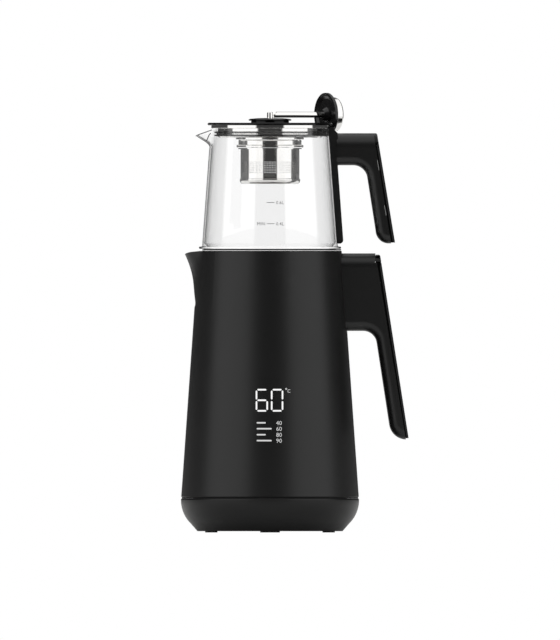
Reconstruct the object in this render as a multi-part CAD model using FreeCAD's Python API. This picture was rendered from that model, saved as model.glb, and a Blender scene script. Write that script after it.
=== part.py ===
import FreeCAD
import Part
import math
import os

os.makedirs("parts", exist_ok=True)

V = FreeCAD.Vector

# Millimetres, +Z up, the axis of the pot and kettle on Z, feet on z = 0.
# The spouts point to -X, both handles to +X and the display to -Y.

# Power base
BASE_R = 81.5
BASE_WALL = 2.4
BASE_CURVE_R = 29.7
BASE_WIDEST_Z = 29.5
BASE_FLARE_Z = 8.4
BASE_TOP_Z = 31.4
BASE_SKIRT_R = 66.4
BASE_SKIRT_Z = 1.2
BASE_DECK_Z = 29.8
BASE_DECK_R = 73.0
TOWER_R = 17.0
TOWER_TOP_Z = 39.5
FOOT_RING_R = 62.0
FOOT_LONG = 18.0
FOOT_WIDE = 4.0
FOOT_COUNT = 6
GLAND_Z = 14.0

# Kettle body, a cone that narrows upwards
KETTLE_BOTTOM_Z = 32.1
KETTLE_BOTTOM_R = 81.28
KETTLE_RIM_Z = 257.6
KETTLE_RIM_R = 65.6
KETTLE_WALL = 2.4
VESSEL_WALL = 0.9
VESSEL_BOTTOM_Z = 62.0
VESSEL_BOTTOM_R = 70.0
VESSEL_TOP_R = 62.4
VESSEL_RIM_R = 65.2
VESSEL_RIM_TOP_Z = 259.3

# Spout of the kettle: how far the lip stands out of the cone at each height
SPOUT_HALF_ANGLE = math.radians(25.0)
SPOUT_SECTIONS = [
    (206.0, 0.0),
    (214.0, 0.15),
    (222.0, 1.5),
    (231.0, 3.0),
    (239.0, 5.2),
    (247.0, 8.3),
    (254.5, 12.0),
    (260.0, 14.8),
]

# Kettle handle, side profile in X and Z
HANDLE_HALF_WIDTH = 13.0
ARM_TOP_ROUND = 12.8
K_ARM_TOP_Z = 255.4
K_ARM_UNDER_Z = 184.4
K_SEAM_TOP_X = 96.8
K_SEAM_BOTTOM_X = 124.1
K_OUTER_TOP_X = 100.9
K_OUTER_BOTTOM_X = 126.9
K_COVER_TOP_Z = 246.9
K_BUTTON_BOTTOM_Z = 247.9
K_GRIP_BOTTOM_Z = 85.1
K_BUTTON_SKIRT_Z = 245.4
K_BUTTON_SKIRT_HALF = 9.0
K_SCREW_HEIGHTS = (226.0, 200.0)

# Glass pot
POT_BOTTOM_Z = 259.6
POT_FLANGE_R = 65.0
POT_FLANGE_TOP_Z = 261.6
POT_WALL = 2.0
POT_LOW_R = 62.1
POT_LOW_Z = 262.0
POT_HIGH_R = 54.9
POT_HIGH_Z = 361.0
POT_RIM_Z = 369.6
POT_LIP_HALF_ANGLE = math.radians(21.0)
POT_LIP_SECTIONS = [
    (351.5, 0.0),
    (354.0, 0.3),
    (356.5, 2.8),
    (359.5, 7.6),
    (363.0, 13.0),
    (367.0, 17.0),
    (371.0, 19.0),
]

# Handle of the pot
P_ARM_TOP_Z = 365.3
P_ARM_UNDER_Z = 336.0
P_STRAP_HALF_WIDTH = 11.0

# Lid and infuser
LID_R = 57.1
LID_TOP_Z = 375.0
LID_PLATE_Z = 372.6
LID_BAND_R = 53.7
LID_BAND_Z = 369.8
PLUG_R = 47.6
PLUG_Z = 361.4
COLLAR_R = 19.7
COLLAR_STEP_R = 17.3
COLLAR_STEP_Z = 376.8
COLLAR_TOP_Z = 379.3
ROD_R = 2.7
HINGE_Z = 382.3
BASKET_R = 26.9
BASKET_CUP_R = 27.6
BASKET_CUP_Z = 323.3
BASKET_BOTTOM_Z = 318.9
BASKET_WALL = 0.7
COVER_R = 28.8
COVER_FLANGE_R = 30.6

# Folding knob: the arm points to the right and back
ARM_ANGLE = math.radians(30.0)
KNOB_FACE = 57.9
KNOB_DISC_R = 20.0
KNOB_DISC_THICK = 3.2
KNOB_CAP_R = 15.8
KNOB_CAP_LONG = 8.1

BIG = 400.0
# Gap left between pieces that are glued or pressed on
FIT = 0.05
# Largest gap closed where the cone and the lofted beak meet
FUSE_GAP = 0.001


def revolve(points):
    """Solid turned about Z from a closed outline of (radius, z) points."""
    outline = [V(r, 0, z) for r, z in points]
    outline.append(outline[0])
    face = Part.Face(Part.makePolygon(outline))
    return face.revolve(V(0, 0, 0), V(0, 0, 1), 360)


def revolve_edges(edges):
    """Solid turned about Z from a closed chain of edges in the XZ plane."""
    face = Part.Face(Part.Wire(edges))
    return face.revolve(V(0, 0, 0), V(0, 0, 1), 360)


def ring(inner, outer, low, high):
    """Flat ring about Z."""
    return revolve([(inner, low), (outer, low), (outer, high), (inner, high)])


def side_plate(edges, half_width):
    """Plate made by pushing a closed XZ outline through Y on both sides."""
    face = Part.Face(Part.Wire(edges))
    face.translate(V(0, -half_width, 0))
    return face.extrude(V(0, 2 * half_width, 0))


def line_chain(points):
    """Straight edges through a list of (x, z) points."""
    pts = [V(x, 0, z) for x, z in points]
    return [Part.makeLine(a, b) for a, b in zip(pts, pts[1:])]


def arc_edge(a, b, c):
    """Arc through three (x, z) points."""
    return Part.Arc(V(a[0], 0, a[1]), V(b[0], 0, b[1]), V(c[0], 0, c[1])).toShape()


def cone_radius(z):
    """Outer radius of the kettle cone at a height."""
    share = (z - KETTLE_BOTTOM_Z) / (KETTLE_RIM_Z - KETTLE_BOTTOM_Z)
    return KETTLE_BOTTOM_R + share * (KETTLE_RIM_R - KETTLE_BOTTOM_R)


def pot_radius(z):
    """Outer radius of the pot wall at a height."""
    share = (z - POT_LOW_Z) / (POT_HIGH_Z - POT_LOW_Z)
    return POT_LOW_R + share * (POT_HIGH_R - POT_LOW_R)


def beak_section(radius, bulge, half_angle, z):
    """Closed outline: a circle with a smooth beak that points to -X."""
    points = []
    steps = 20
    for i in range(steps + 1):
        t = -1 + 2 * i / steps
        angle = math.pi + t * half_angle * 1.6
        if abs(t) * 1.6 < 1:
            lift = bulge * math.cos(0.5 * math.pi * t * 1.6) ** 2
        else:
            lift = 0.0
        r = radius + lift
        points.append(V(r * math.cos(angle), r * math.sin(angle), z))
    curve = Part.BSplineCurve()
    curve.interpolate(points)
    rest = Part.Arc(points[-1], V(radius, 0, z), points[0]).toShape()
    return Part.Wire([curve.toShape(), rest])


def beak_loft(sections, radius_at, half_angle, inset):
    """Solid through beak outlines, drawn in by an inset."""
    wires = []
    for z, bulge in sections:
        wires.append(beak_section(radius_at(z) - inset, bulge, half_angle, z))
    return Part.makeLoft(wires, True, False)


def edges_where(shape, test):
    """Edges whose middle point passes a test."""
    found = []
    for edge in shape.Edges:
        mid = edge.valueAt(0.5 * (edge.FirstParameter + edge.LastParameter))
        if test(mid, edge):
            found.append(edge)
    return found


def base_outline(inset):
    """Arc of the base wall and its two ends, drawn in by an inset."""
    centre_r = BASE_R - BASE_CURVE_R
    radius = BASE_CURVE_R - inset
    low_z = BASE_FLARE_Z + 0.7 * inset
    points = []
    for z in (BASE_WIDEST_Z, 0.5 * (BASE_WIDEST_Z + low_z), low_z):
        drop = BASE_WIDEST_Z - z
        points.append((centre_r + math.sqrt(radius ** 2 - drop ** 2), z))
    return points


# Power base: housing with a flared wall and a sunk deck for the kettle
def make_base_shell():
    outer = base_outline(0.0)
    inner = base_outline(BASE_WALL)
    edge_r = BASE_R - 1.2
    edges = [
        arc_edge(outer[0], outer[1], outer[2]),
        *line_chain([
            outer[2],
            (BASE_SKIRT_R, BASE_SKIRT_Z),
            (BASE_SKIRT_R - 2.0, BASE_SKIRT_Z),
            (BASE_SKIRT_R - 2.0, 5.0),
            inner[2],
        ]),
        arc_edge(inner[2], inner[1], inner[0]),
        *line_chain([
            inner[0],
            (inner[0][0], BASE_DECK_Z - 2.2),
            (19.0, BASE_DECK_Z - 2.2),
            (19.0, BASE_DECK_Z),
            (BASE_DECK_R, BASE_DECK_Z),
            (BASE_DECK_R + 0.8, BASE_TOP_Z),
            (edge_r, BASE_TOP_Z),
        ]),
        arc_edge((edge_r, BASE_TOP_Z), (BASE_R - 0.35, BASE_TOP_Z - 0.6), outer[0]),
    ]
    shell = revolve_edges(edges)
    for boss in screw_places():
        post = Part.makeCylinder(3.6, BASE_DECK_Z - 3.4 - 1.5, V(boss.x, boss.y, 3.6))
        hole = Part.makeCylinder(1.5, 16.0, V(boss.x, boss.y, 3.0))
        shell = shell.fuse(post).cut(hole)
    gland_hole = Part.makeCylinder(4.6, 20.0, V(0, 66.0, GLAND_Z), V(0, 1, 0))
    return shell.cut(gland_hole)


def screw_places():
    """Centres of the four base screws."""
    places = []
    for i in range(4):
        angle = math.radians(45 + 90 * i)
        places.append(V(52 * math.cos(angle), 52 * math.sin(angle), 0))
    return places


# Bottom cover of the base, let into the skirt
def make_base_bottom_cover():
    radius = BASE_SKIRT_R - 2.0
    plate = revolve([(0, 1.3), (radius, 1.3), (radius, 3.5), (0, 3.5)])
    for place in screw_places():
        sink = Part.makeCylinder(3.6, 1.3, V(place.x, place.y, 0.9))
        hole = Part.makeCylinder(1.8, 6.0, V(place.x, place.y, 0.0))
        plate = plate.cut(sink).cut(hole)
    for radius in (26.0, 44.0):
        plate = plate.fuse(ring(radius, radius + 1.6, 3.4, 7.0))
    return plate


def make_base_feet():
    feet = []
    for i in range(FOOT_COUNT):
        pad = Part.makeBox(FOOT_WIDE, FOOT_LONG, 1.3, V(FOOT_RING_R - FOOT_WIDE / 2, -FOOT_LONG / 2, 0))
        corners = edges_where(pad, lambda m, e: abs(m.z - 0.65) < 0.1)
        pad = pad.makeFillet(1.6, corners)
        pad.rotate(V(0, 0, 0), V(0, 0, 1), -90 + 60 * i)
        feet.append(pad)
    return Part.makeCompound(feet)


def make_base_screws():
    screws = []
    for place in screw_places():
        head = Part.makeCylinder(3.0, 0.8, V(place.x, place.y, 1.4))
        cross = Part.makeBox(3.6, 0.7, 0.4, V(place.x - 1.8, place.y - 0.35, 1.4))
        cross_b = Part.makeBox(0.7, 3.6, 0.4, V(place.x - 0.35, place.y - 1.8, 1.4))
        shank = Part.makeCylinder(1.45, 10.5, V(place.x, place.y, 2.2))
        screws.append(head.cut(cross).cut(cross_b).fuse(shank))
    return Part.makeCompound(screws)


# Round connector tower in the middle of the deck, with two ring slots and an earth hole
def make_base_connector():
    tower = revolve([
        (2.4, 30.0), (2.4, TOWER_TOP_Z),
        (6.0, TOWER_TOP_Z), (6.0, 31.5), (8.2, 31.5), (8.2, TOWER_TOP_Z),
        (11.0, TOWER_TOP_Z), (11.0, 31.5), (13.2, 31.5), (13.2, TOWER_TOP_Z),
        (TOWER_R - 0.8, TOWER_TOP_Z), (TOWER_R, TOWER_TOP_Z - 0.8),
        (TOWER_R, BASE_DECK_Z + 1.2), (22.5, BASE_DECK_Z + 1.2), (22.5, BASE_DECK_Z),
        (18.9, BASE_DECK_Z), (18.9, 16.0), (0, 16.0), (0, 30.0),
    ])
    return tower


def make_base_contacts():
    outer = ring(11.0, 11.35, 31.5, 37.5).fuse(ring(11.35, 13.2, 31.5, 31.9))
    inner = ring(7.85, 8.2, 31.5, 37.5).fuse(ring(6.0, 7.85, 31.5, 31.9))
    earth = ring(2.0, 2.4, 30.0, 38.5)
    return Part.makeCompound([outer, inner, earth])


# Rubber bush where the supply cord leaves the back of the base, its collar saddled on the wall
def make_base_cord_gland():
    wall_r = 77.0
    collar = revolve([(3.2, -6.0), (6.4, -6.0), (6.4, 3.2), (5.6, 4.2), (3.2, 4.2)])
    collar.rotate(V(0, 0, 0), V(1, 0, 0), -90)
    collar.translate(V(0, wall_r, GLAND_Z))
    outer = base_outline(-FIT)
    filled = revolve_edges([
        arc_edge(outer[0], outer[1], outer[2]),
        *line_chain([
            outer[2], (BASE_SKIRT_R + FIT, BASE_SKIRT_Z), (0, BASE_SKIRT_Z), (0, outer[0][1]), outer[0],
        ]),
    ])
    neck = Part.makeCylinder(4.55, 9.5, V(0, wall_r - 6.0, GLAND_Z), V(0, 1, 0))
    neck = neck.cut(Part.makeCylinder(3.2, 12.0, V(0, wall_r - 7.0, GLAND_Z), V(0, 1, 0)))
    return collar.cut(filled).fuse(neck).removeSplitter()


# Turning half of the cordless connector, under the middle of the kettle
def make_kettle_coupler():
    return revolve([
        (0, 32.2), (1.5, 33.0), (1.5, 40.9), (6.6, 40.9), (6.6, 33.2), (7.4, 33.2), (7.4, 40.9),
        (11.8, 40.9), (11.8, 33.2), (12.6, 33.2), (12.6, 40.9), (18.4, 40.9), (18.4, 32.4),
        (20.6, 32.4), (20.6, 39.5), (22.0, 39.5), (22.0, 44.5), (0, 44.5),
    ])


# Outer wall of the kettle: a cone below and a lofted pouring beak above
def make_kettle_shell():
    low_z = SPOUT_SECTIONS[0][0]
    low_r = cone_radius(low_z)
    cone = revolve([
        (0, KETTLE_BOTTOM_Z), (KETTLE_BOTTOM_R - 0.8, KETTLE_BOTTOM_Z),
        (KETTLE_BOTTOM_R, KETTLE_BOTTOM_Z + 0.8), (low_r, low_z), (0, low_z),
    ])
    hollow_cone = revolve([
        (0, KETTLE_BOTTOM_Z - 1), (KETTLE_BOTTOM_R - KETTLE_WALL, KETTLE_BOTTOM_Z - 1),
        (KETTLE_BOTTOM_R - KETTLE_WALL, KETTLE_BOTTOM_Z),
        (low_r - KETTLE_WALL, low_z), (0, low_z),
    ])
    lower = cone.cut(hollow_cone)
    beak = beak_loft(SPOUT_SECTIONS, cone_radius, SPOUT_HALF_ANGLE, 0.0)
    beak = beak.cut(beak_loft(SPOUT_SECTIONS, cone_radius, SPOUT_HALF_ANGLE * 0.92, KETTLE_WALL))
    above = [
        (BIG, KETTLE_RIM_Z), (-64.3, KETTLE_RIM_Z), (-72.9, 256.7), (-76.5, 255.7),
        (-78.2, 254.6), (-90.0, 247.0), (-90.0, 270.0), (BIG, 270.0), (BIG, KETTLE_RIM_Z),
    ]
    beak = beak.cut(side_plate(line_chain(above), 100.0))
    shell = lower.fuse([beak], FUSE_GAP)
    for z in K_SCREW_HEIGHTS:
        shell = shell.cut(Part.makeCylinder(2.2, 20.0, V(cone_radius(z) - 10.0, 0, z), V(1, 0, 0)))
    return shell


def vessel_cut():
    """Gap in the rim of the vessel where the water reaches the spout."""
    return Part.makeBox(30.0, 40.0, 40.0, V(-85.0, -20.0, 226.0))


# Steel water vessel with a rolled rim that carries the pot
def make_inner_vessel():
    top_z = KETTLE_RIM_Z
    wall = VESSEL_WALL
    outer = revolve([
        (0, VESSEL_BOTTOM_Z), (VESSEL_BOTTOM_R - 6.0, VESSEL_BOTTOM_Z),
        (VESSEL_BOTTOM_R - 1.8, VESSEL_BOTTOM_Z + 1.8), (VESSEL_BOTTOM_R, VESSEL_BOTTOM_Z + 6.0),
        (VESSEL_TOP_R, top_z), (VESSEL_RIM_R - 0.5, top_z), (VESSEL_RIM_R, top_z + 0.5),
        (VESSEL_RIM_R, VESSEL_RIM_TOP_Z - 0.5), (VESSEL_RIM_R - 0.5, VESSEL_RIM_TOP_Z),
        (0, VESSEL_RIM_TOP_Z),
    ])
    inner = revolve([
        (0, VESSEL_BOTTOM_Z + wall), (VESSEL_BOTTOM_R - 6.2, VESSEL_BOTTOM_Z + wall),
        (VESSEL_BOTTOM_R - 2.6, VESSEL_BOTTOM_Z + 2.4), (VESSEL_BOTTOM_R - wall, VESSEL_BOTTOM_Z + 6.2),
        (VESSEL_TOP_R - wall, top_z), (VESSEL_TOP_R - wall + 0.4, VESSEL_RIM_TOP_Z + 1),
        (0, VESSEL_RIM_TOP_Z + 1),
    ])
    return outer.cut(inner).cut(vessel_cut())


def vessel_radius(z):
    """Outer radius of the steel vessel at a height."""
    share = (z - VESSEL_BOTTOM_Z - 6.0) / (KETTLE_RIM_Z - VESSEL_BOTTOM_Z - 6.0)
    return VESSEL_BOTTOM_R + share * (VESSEL_TOP_R - VESSEL_BOTTOM_R)


def make_vessel_seal():
    low, high = 200.0, 204.0
    return revolve([
        (vessel_radius(low), low), (cone_radius(low) - KETTLE_WALL, low),
        (cone_radius(high) - KETTLE_WALL, high), (vessel_radius(high), high),
    ])


# Bottom of the kettle with its standing ring and the sleeve round the connector
def make_kettle_bottom_cover():
    edge = KETTLE_BOTTOM_R - KETTLE_WALL - 0.4
    return revolve([
        (22.4, 34.0), (58.0, 34.0), (59.0, BASE_DECK_Z), (69.0, BASE_DECK_Z), (70.0, BASE_TOP_Z + FIT),
        (edge, BASE_TOP_Z + FIT), (edge - 0.3, 38.0), (edge - 2.4, 38.0), (edge - 2.4, 36.2), (24.4, 36.2),
        (24.4, 50.0), (0, 50.0), (0, 48.0), (22.4, 48.0),
    ])


def make_kettle_cover_screws():
    screws = []
    for i in range(3):
        angle = math.radians(90 + 120 * i)
        place = V(40 * math.cos(angle), 40 * math.sin(angle), 0)
        head = Part.makeCylinder(2.8, 1.2, V(place.x, place.y, 32.8))
        dimple = Part.makeCylinder(1.1, 0.8, V(place.x, place.y, 32.8))
        screws.append(head.cut(dimple))
    return Part.makeCompound(screws)


def make_heater_plate():
    return revolve([(0, 58.4), (58.0, 58.4), (60.0, 60.0), (60.0, VESSEL_BOTTOM_Z), (0, VESSEL_BOTTOM_Z)])


# Tube heater bent to an open ring under the plate, with its two cold ends turned down
def make_heating_element():
    circle = Part.Face(Part.Wire(Part.makeCircle(3.4, V(44.0, 0, 55.0), V(0, 1, 0))))
    loop = circle.revolve(V(0, 0, 0), V(0, 0, 1), 300)
    end_angle = math.radians(300)
    element = loop
    for angle in (0.0, end_angle):
        at = V(44 * math.cos(angle), 44 * math.sin(angle), 42.5)
        element = element.fuse(Part.makeCylinder(2.9, 14.6, at))
    return element


# Fast temperature probe that reads the water through the plate
def make_temperature_sensor():
    body = Part.makeCylinder(4.0, 5.4, V(26.0, 0, 53.0))
    return body.fuse(Part.makeCylinder(6.0, 1.4, V(26.0, 0, 51.6)))


def make_control_board():
    board = Part.makeBox(64.0, 26.0, 1.6, V(-32.0, -56.0, 40.0))
    return board.cut(Part.makeCylinder(1.6, 4.0, V(-28.0, -52.0, 39.0)))


def make_board_relay():
    body = Part.makeBox(18.0, 14.0, 9.0, V(-12.0, -50.0, 41.6))
    return round_edges(body, lambda m, e: m.z > 50.5, 0.8)


# Lamp board of the display, leaning with the wall just behind the front
def make_display_module():
    tall = 56.0
    front = cone_radius(82.0) - KETTLE_WALL - 1.9
    board = Part.makeBox(28.0, 1.6, tall, V(-14.0, -front, 82.0))
    lean = math.degrees(math.atan((KETTLE_BOTTOM_R - KETTLE_RIM_R) / (KETTLE_RIM_Z - KETTLE_BOTTOM_Z)))
    board.rotate(V(0, -front, 82.0), V(1, 0, 0), -lean)
    return board


def kettle_seam_x(z):
    """Seam between the handle and its gloss back cover."""
    return K_SEAM_TOP_X + (253.5 - z) * (K_SEAM_BOTTOM_X - K_SEAM_TOP_X) / (253.5 - 86.6)


def kettle_outer_x(z):
    """Outer edge of the back cover of the kettle handle."""
    return K_OUTER_TOP_X + (253.5 - z) * (K_OUTER_BOTTOM_X - K_OUTER_TOP_X) / (253.5 - 86.0)


def arm_envelope(top_z, inset):
    """Long bar with a nearly half-round top, which gives the arm, cover and button one outline."""
    half = HANDLE_HALF_WIDTH - inset
    top = top_z - inset
    bar = Part.makeBox(90.0, 2 * half, 220.0, V(50.0, -half, top - 220.0))
    radius = ARM_TOP_ROUND - inset
    return round_edges(bar, lambda m, e: abs(m.z - top) < 0.1 and abs(m.y) > half - 0.1, radius)


def button_recess():
    """Room for the skirt of the push button in the handle and in its back cover."""
    half = K_BUTTON_SKIRT_HALF + 0.4
    return Part.makeBox(12.0, 2 * half, 8.0, V(K_SEAM_TOP_X - 0.4, -half, K_BUTTON_SKIRT_Z - 1.0))


# Grip of the kettle: deep arm at the top, rounded grip that leans out below
def make_kettle_handle(shell_outside):
    low_x = kettle_seam_x(K_GRIP_BOTTOM_Z)
    seam_top = kettle_seam_x(K_COVER_TOP_Z)
    edges = [
        *line_chain([
            (60.0, K_ARM_UNDER_Z), (60.0, K_ARM_TOP_Z), (K_SEAM_TOP_X - 0.4, K_ARM_TOP_Z),
            (K_SEAM_TOP_X - 0.4, K_COVER_TOP_Z), (seam_top, K_COVER_TOP_Z), (low_x, K_GRIP_BOTTOM_Z),
        ]),
        arc_edge((low_x, K_GRIP_BOTTOM_Z), (113.6, 89.6), (109.1, 98.4)),
        *line_chain([(109.1, 98.4), (97.56, 173.79)]),
        arc_edge((97.56, 173.79), (93.34, 181.38), (85.2, K_ARM_UNDER_Z)),
        *line_chain([(85.2, K_ARM_UNDER_Z), (60.0, K_ARM_UNDER_Z)]),
    ]
    body = side_plate(edges, HANDLE_HALF_WIDTH)
    body = round_edges(body, kettle_inner_edge, 8.6)
    body = body.common(arm_envelope(K_ARM_TOP_Z, 0.0)).cut(shell_outside).cut(button_recess())
    channel = side_plate(line_chain([
        (kettle_seam_x(236.0) - 8.0, 236.0), (kettle_seam_x(236.0) + 2.0, 236.0),
        (kettle_seam_x(98.0) + 2.0, 98.0), (kettle_seam_x(98.0) - 5.0, 98.0),
        (kettle_seam_x(236.0) - 8.0, 236.0),
    ]), 6.0)
    pocket = Part.makeBox(8.0, 12.0, 14.0, V(86.6, -6.0, 236.5))
    slot = Part.makeBox(15.6, 6.4, 3.2, V(86.6, -3.2, 248.6))
    web_slot = Part.makeBox(3.2, 6.4, 6.8, V(93.8, -3.2, 247.2))
    body = body.cut(channel).cut(pocket).cut(slot).cut(web_slot)
    for z in K_SCREW_HEIGHTS:
        body = body.cut(Part.makeCylinder(2.2, 44.0, V(58.0, 0, z), V(1, 0, 0)))
    return body.removeSplitter()


def kettle_inner_edge(mid, edge):
    """Edges on both sides of the finger opening of the kettle handle."""
    if abs(mid.y) < 12.9 or edge.Length < 1.0:
        return False
    on_under = abs(mid.z - K_ARM_UNDER_Z) < 0.1
    on_grip = mid.z < K_ARM_UNDER_Z - 0.2 and mid.x < kettle_seam_x(mid.z) - 4.0
    return on_under or on_grip


def round_edges(shape, test, radius):
    """Fillet, stepping the radius down until the edges take it."""
    edges = edges_where(shape, test)
    for share in (1.0, 0.85, 0.7, 0.5, 0.3):
        try:
            rounded = shape.makeFillet(radius * share, edges)
        except Exception:
            continue
        if rounded.isValid() and rounded.Volume > 0.5 * shape.Volume:
            return rounded
    return shape


# Gloss strip that closes the back of the grip
def make_kettle_handle_cover():
    top = K_COVER_TOP_Z
    low = K_GRIP_BOTTOM_Z + 1.2
    edges = line_chain([
        (kettle_seam_x(top), top), (kettle_outer_x(top), top), (kettle_outer_x(low), low),
        (kettle_seam_x(low), low), (kettle_seam_x(top), top),
    ])
    strip = side_plate(edges, HANDLE_HALF_WIDTH)
    strip = round_edges(strip, lambda m, e: abs(m.y) > 12.9 and m.x > kettle_outer_x(m.z) - 0.2, 2.2)
    return strip.common(arm_envelope(K_ARM_TOP_Z, 0.0)).cut(button_recess())


def make_kettle_handle_screws():
    screws = []
    for z in K_SCREW_HEIGHTS:
        tail = cone_radius(z) - KETTLE_WALL + 0.2
        head_x = kettle_seam_x(z) - 6.2
        shank = Part.makeCylinder(1.9, head_x - tail, V(tail, 0, z), V(1, 0, 0))
        head = Part.makeCylinder(3.6, 2.0, V(head_x, 0, z), V(1, 0, 0))
        screws.append(shank.fuse(head))
    return Part.makeCompound(screws)


# Push button at the top of the back strip, pressed down by the thumb
def make_power_button():
    left = K_SEAM_TOP_X - 0.25
    low = K_BUTTON_BOTTOM_Z
    edges = line_chain([
        (left, low), (kettle_outer_x(low), low), (K_OUTER_TOP_X, 253.2), (K_OUTER_TOP_X - 1.0, 254.2),
        (left, 254.2), (left, low),
    ])
    cap = side_plate(edges, 11.9)
    cap = round_edges(cap, lambda m, e: abs(m.y) > 11.8 and m.x > K_OUTER_TOP_X - 0.6, 1.6)
    cap = cap.common(arm_envelope(K_ARM_TOP_Z, 0.8))
    skirt = side_plate(line_chain([
        (left, K_BUTTON_SKIRT_Z), (kettle_outer_x(K_BUTTON_SKIRT_Z) - 0.3, K_BUTTON_SKIRT_Z),
        (kettle_outer_x(low) - 0.3, low + 0.5), (left, low + 0.5), (left, K_BUTTON_SKIRT_Z),
    ]), K_BUTTON_SKIRT_HALF)
    cap = cap.fuse(skirt)
    tongue = Part.makeBox(9.6, 5.6, 1.6, V(87.6, -2.8, 249.9))
    web = Part.makeBox(2.6, 5.6, 5.2, V(94.2, -2.8, 248.2))
    foot = Part.makeCylinder(2.2, 1.7, V(90.6, 0, 248.4))
    return cap.fuse(tongue).fuse(web).fuse(foot)


def make_button_spring():
    helix = Part.makeHelix(1.6, 6.4, 1.9)
    helix.translate(V(90.6, 0, 241.6))
    start = V(92.5, 0, 241.6)
    profile = Part.Wire(Part.makeCircle(0.3, start, V(0, 1, 0)))
    coil = Part.Wire(helix).makePipeShell([profile], True, True)
    return coil


def make_button_switch():
    body = Part.makeBox(7.4, 11.4, 4.6, V(86.8, -5.7, 236.7))
    return body.fuse(Part.makeCylinder(1.0, 6.3, V(90.6, 0, 241.2)))


# Glass pot with a foot flange and a drawn lip
def make_pot_glass():
    low_z = POT_LIP_SECTIONS[0][0]
    wall = POT_WALL
    outer = revolve([
        (0, POT_BOTTOM_Z), (POT_FLANGE_R - 0.6, POT_BOTTOM_Z), (POT_FLANGE_R, POT_BOTTOM_Z + 0.6),
        (POT_FLANGE_R, POT_FLANGE_TOP_Z - 0.5), (POT_FLANGE_R - 0.5, POT_FLANGE_TOP_Z),
        (POT_LOW_R + 0.6, POT_FLANGE_TOP_Z), (POT_LOW_R, POT_FLANGE_TOP_Z + 0.8),
        (pot_radius(low_z), low_z), (0, low_z),
    ])
    inner_low = revolve([
        (0, POT_BOTTOM_Z + wall), (POT_LOW_R - wall - 3.0, POT_BOTTOM_Z + wall),
        (POT_LOW_R - wall, POT_BOTTOM_Z + wall + 3.0), (pot_radius(low_z) - wall, low_z), (0, low_z),
    ])
    neck = beak_loft(POT_LIP_SECTIONS, pot_radius, POT_LIP_HALF_ANGLE, 0.0)
    neck = neck.cut(beak_loft(POT_LIP_SECTIONS, pot_radius, POT_LIP_HALF_ANGLE * 0.94, wall))
    above = [
        (BIG, POT_RIM_Z), (-49.0, POT_RIM_Z), (-53.3, 368.3), (-65.0, 364.2), (-67.6, 362.9),
        (-76.0, 358.0), (-76.0, 380.0), (BIG, 380.0), (BIG, POT_RIM_Z),
    ]
    neck = neck.cut(side_plate(line_chain(above), 100.0))
    return outer.cut(inner_low).fuse([neck], FUSE_GAP)


# Soft ring under the pot that centres it in the mouth of the kettle
def make_pot_foot_ring():
    return revolve([(57.0, 257.2), (59.4, 256.6), (60.4, 257.4), (60.4, POT_BOTTOM_Z), (57.0, POT_BOTTOM_Z)])


def pot_side_cone():
    """Cone of the pot wall with room for the glue, used to fit the strap to the glass."""
    low, high = 250.0, 380.0
    room = 2 * FIT
    return revolve([(0, low), (pot_radius(low) + room, low), (pot_radius(high) + room, high), (0, high)])


# Curved strap bonded to the glass, which carries the handle
def make_pot_strap():
    edges = [
        *line_chain([
            (50.0, 268.0), (50.0, 366.0), (54.9, 371.2), (57.4, 371.2), (59.4, 368.0), (62.0, 365.4),
            (62.1, 335.0), (67.0, 268.4),
        ]),
        arc_edge((67.0, 268.4), (66.2, 265.4), (63.6, 264.3)),
        *line_chain([(63.6, 264.3), (50.0, 264.3), (50.0, 268.0)]),
    ]
    strap = side_plate(edges, P_STRAP_HALF_WIDTH)
    return strap.cut(pot_side_cone()).cut(Part.makeCylinder(LID_R + 0.5, 10.0, V(0, 0, 371.4)))


def pot_seam_x(z):
    """Seam between the pot handle and its gloss back cover."""
    return 94.8 + (365.2 - z) * (110.3 - 94.8) / (365.2 - 268.0)


def pot_outer_x(z):
    """Outer edge of the back cover of the pot handle."""
    return 98.0 + (365.2 - z) * (114.4 - 98.0) / (365.2 - 265.5)


# Grip of the pot: the same form as the kettle grip, smaller
def make_pot_handle(strap_body):
    low_z = 264.5
    edges = [
        *line_chain([
            (61.0, P_ARM_UNDER_Z), (61.0, P_ARM_TOP_Z), (pot_seam_x(P_ARM_TOP_Z), P_ARM_TOP_Z),
            (pot_seam_x(low_z), low_z), (107.6, low_z),
        ]),
        arc_edge((107.6, low_z), (99.9, 268.2), (96.6, 276.2)),
        *line_chain([(96.6, 276.2), (88.9, 325.6)]),
        arc_edge((88.9, 325.6), (84.6, 332.8), (76.6, P_ARM_UNDER_Z)),
        *line_chain([(76.6, P_ARM_UNDER_Z), (61.0, P_ARM_UNDER_Z)]),
    ]
    body = side_plate(edges, HANDLE_HALF_WIDTH)
    body = round_edges(body, pot_inner_edge, 8.0)
    body = body.common(arm_envelope(P_ARM_TOP_Z, 0.0)).cut(strap_body).cut(pot_side_cone())
    channel = side_plate(line_chain([
        (pot_seam_x(356.0) - 7.0, 356.0), (pot_seam_x(356.0) + 2.0, 356.0),
        (pot_seam_x(276.0) + 2.0, 276.0), (pot_seam_x(276.0) - 4.0, 276.0), (pot_seam_x(356.0) - 7.0, 356.0),
    ]), 6.0)
    body = body.cut(channel)
    for z in (358.0, 344.0):
        body = body.cut(Part.makeCylinder(2.0, 40.0, V(58.0, 0, z), V(1, 0, 0)))
    return body.removeSplitter()


def pot_inner_edge(mid, edge):
    """Edges on both sides of the finger opening of the pot handle."""
    if abs(mid.y) < 12.9 or edge.Length < 1.0:
        return False
    on_under = abs(mid.z - P_ARM_UNDER_Z) < 0.1
    on_grip = mid.z < P_ARM_UNDER_Z - 0.2 and mid.x < pot_seam_x(mid.z) - 4.0
    return on_under or on_grip


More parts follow.
